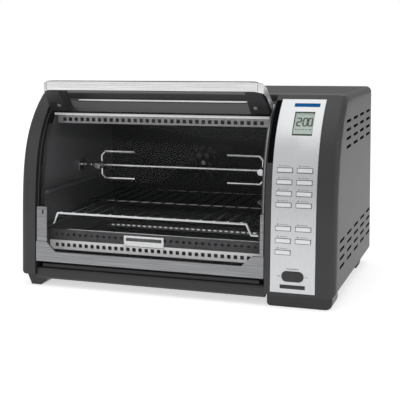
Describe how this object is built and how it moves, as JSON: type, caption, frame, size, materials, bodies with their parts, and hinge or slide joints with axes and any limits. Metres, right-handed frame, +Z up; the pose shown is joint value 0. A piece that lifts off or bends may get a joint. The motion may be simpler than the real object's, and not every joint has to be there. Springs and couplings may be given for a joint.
{
  "type": "toaster oven",
  "caption": "Countertop toaster oven with a curved glass drop door, a bar handle, a motor-driven rotisserie spit, a sliding wire rack, a crumb tray and a button control column.",
  "frame": {"origin": "centre of the bounding box in plan, on the floor under the feet", "axes": "+X to the right along the front, the door and controls face -Y, +Z up"},
  "size_m": [0.578, 0.36, 0.3705],
  "materials": {
    "charcoal_paint": "satin powder coat",
    "charcoal_plastic": "fine moulded grain",
    "black_plastic": "satin",
    "rubber": "matte",
    "fascia_aluminium": "brushed, vertical grain",
    "door_steel": "brushed along X",
    "bright_steel": "fine brushed along X",
    "chrome_wire": "bright plated",
    "cavity_enamel": "dark non-stick coat",
    "tray_steel": "dull",
    "heater_sheath": "oxidised",
    "button_plastic": "silver painted",
    "display_window": "clear over a grey-green display",
    "accent_blue": "gloss",
    "door_glass": "tempered, curved",
    "board_green": "circuit board",
    "motor_steel": "zinc plated"
  },
  "bodies": {
    "chassis": {"base_pan": "charcoal_paint", "top_cover": "charcoal_paint", "right_side_panel": "charcoal_plastic", "left_end_panel": "charcoal_plastic", "rear_cover": "charcoal_paint", "front_header": "charcoal_plastic", "front_sill": "black_plastic", "left_front_foot": "black_plastic", "right_front_foot": "black_plastic", "left_rear_foot": "rubber", "right_rear_foot": "rubber", "control_bezel": "charcoal_plastic", "control_fascia": "fascia_aluminium", "display_lens": "display_window", "lcd_module": "black_plastic", "accent_bar": "accent_blue", "control_board": "board_green", "cavity_left_wall": "cavity_enamel", "cavity_right_wall": "cavity_enamel", "cavity_back_wall": "cavity_enamel", "cavity_ceiling": "cavity_enamel", "upper_guard": "motor_steel", "lower_front_guard": "chrome_wire", "lower_baffle": "cavity_enamel", "lower_rear_guard": "motor_steel", "upper_heater": "heater_sheath", "lower_heater": "heater_sheath", "spit_support": "chrome_wire", "spit_motor": "motor_steel", "fan_guard": "cavity_enamel", "fan_motor": "motor_steel", "cord_gland": "rubber"},
    "door": {"door_glass": "door_glass", "door_bottom_trim": "door_steel", "door_lower_rail": "door_steel", "door_strip_left": "door_steel", "door_strip_right": "door_steel", "door_handle": "black_plastic", "handle_band": "bright_steel"},
    "rack": {"wire_rack": "chrome_wire"},
    "tray": {"crumb_tray": "tray_steel"},
    "spit": {"spit_rod": "chrome_wire", "spit_fork_left": "chrome_wire", "spit_fork_right": "chrome_wire", "spit_drive_socket": "motor_steel"},
    "fan": {"convection_fan": "motor_steel"},
    "power_rocker": {"power_rocker": "black_plastic"},
    "button_01": {"button_01": "button_plastic"},
    "button_02": {"button_02": "button_plastic"},
    "button_03": {"button_03": "button_plastic"},
    "button_04": {"button_04": "button_plastic"},
    "button_05": {"button_05": "button_plastic"},
    "button_06": {"button_06": "button_plastic"},
    "button_07": {"button_07": "button_plastic"},
    "button_08": {"button_08": "button_plastic"},
    "button_09": {"button_09": "button_plastic"},
    "button_10": {"button_10": "button_plastic"},
    "button_11": {"button_11": "button_plastic"},
    "button_12": {"button_12": "button_plastic"},
    "button_13": {"button_13": "button_plastic"}
  },
  "joints": [
    {"name": "door_hinge", "type": "hinge", "parent": "chassis", "child": "door", "pos_m": [-0.043, -0.1705, 0.0525], "axis": [1, 0, 0], "range_deg": [0, 90]},
    {"name": "rack_slide", "type": "slide", "parent": "chassis", "child": "rack", "axis": [0, -1, 0], "range_m": [0, 0.095]},
    {"name": "crumb_tray_slide", "type": "slide", "parent": "chassis", "child": "tray", "axis": [0, -1, 0], "range_m": [0, 0.25]},
    {"name": "spit_spin", "type": "hinge", "parent": "chassis", "child": "spit", "pos_m": [-0.044, -0.012, 0.2015], "axis": [1, 0, 0], "continuous": true},
    {"name": "fan_spin", "type": "hinge", "parent": "chassis", "child": "fan", "pos_m": [-0.04415, 0.145, 0.19], "axis": [0, 1, 0], "continuous": true},
    {"name": "power_rock", "type": "hinge", "parent": "chassis", "child": "power_rocker", "pos_m": [0.21775, -0.17686, 0.05443], "axis": [0, 0.0659, 0.9978], "range_deg": [-4, 4]},
    {"name": "button_01_press", "type": "slide", "parent": "chassis", "child": "button_01", "axis": [0, 0.9705, -0.2411], "range_m": [0, 0.001], "stiffness_N_per_m": 400},
    {"name": "button_02_press", "type": "slide", "parent": "chassis", "child": "button_02", "axis": [0, 0.9705, -0.2411], "range_m": [0, 0.001], "stiffness_N_per_m": 400},
    {"name": "button_03_press", "type": "slide", "parent": "chassis", "child": "button_03", "axis": [0, 0.9832, -0.1827], "range_m": [0, 0.001], "stiffness_N_per_m": 400},
    {"name": "button_04_press", "type": "slide", "parent": "chassis", "child": "button_04", "axis": [0, 0.9832, -0.1827], "range_m": [0, 0.001], "stiffness_N_per_m": 400},
    {"name": "button_05_press", "type": "slide", "parent": "chassis", "child": "button_05", "axis": [0, 0.99, -0.141], "range_m": [0, 0.001], "stiffness_N_per_m": 400},
    {"name": "button_06_press", "type": "slide", "parent": "chassis", "child": "button_06", "axis": [0, 0.99, -0.141], "range_m": [0, 0.001], "stiffness_N_per_m": 400},
    {"name": "button_07_press", "type": "slide", "parent": "chassis", "child": "button_07", "axis": [0, 0.9938, -0.1115], "range_m": [0, 0.001], "stiffness_N_per_m": 400},
    {"name": "button_08_press", "type": "slide", "parent": "chassis", "child": "button_08", "axis": [0, 0.9938, -0.1115], "range_m": [0, 0.001], "stiffness_N_per_m": 400},
    {"name": "button_09_press", "type": "slide", "parent": "chassis", "child": "button_09", "axis": [0, 0.9969, -0.0785], "range_m": [0, 0.001], "stiffness_N_per_m": 400},
    {"name": "button_10_press", "type": "slide", "parent": "chassis", "child": "button_10", "axis": [0, 0.9969, -0.0785], "range_m": [0, 0.001], "stiffness_N_per_m": 400},
    {"name": "button_11_press", "type": "slide", "parent": "chassis", "child": "button_11", "axis": [0, 0.9975, -0.0712], "range_m": [0, 0.001], "stiffness_N_per_m": 400},
    {"name": "button_12_press", "type": "slide", "parent": "chassis", "child": "button_12", "axis": [0, 0.9975, -0.0712], "range_m": [0, 0.001], "stiffness_N_per_m": 400},
    {"name": "button_13_press", "type": "slide", "parent": "chassis", "child": "button_13", "axis": [0, 0.9977, -0.0678], "range_m": [0, 0.001], "stiffness_N_per_m": 400}
  ],
  "couplings": [
    {"joint": "rack_slide", "follows": "door_hinge", "m_per_rad": 0.06}
  ]
}
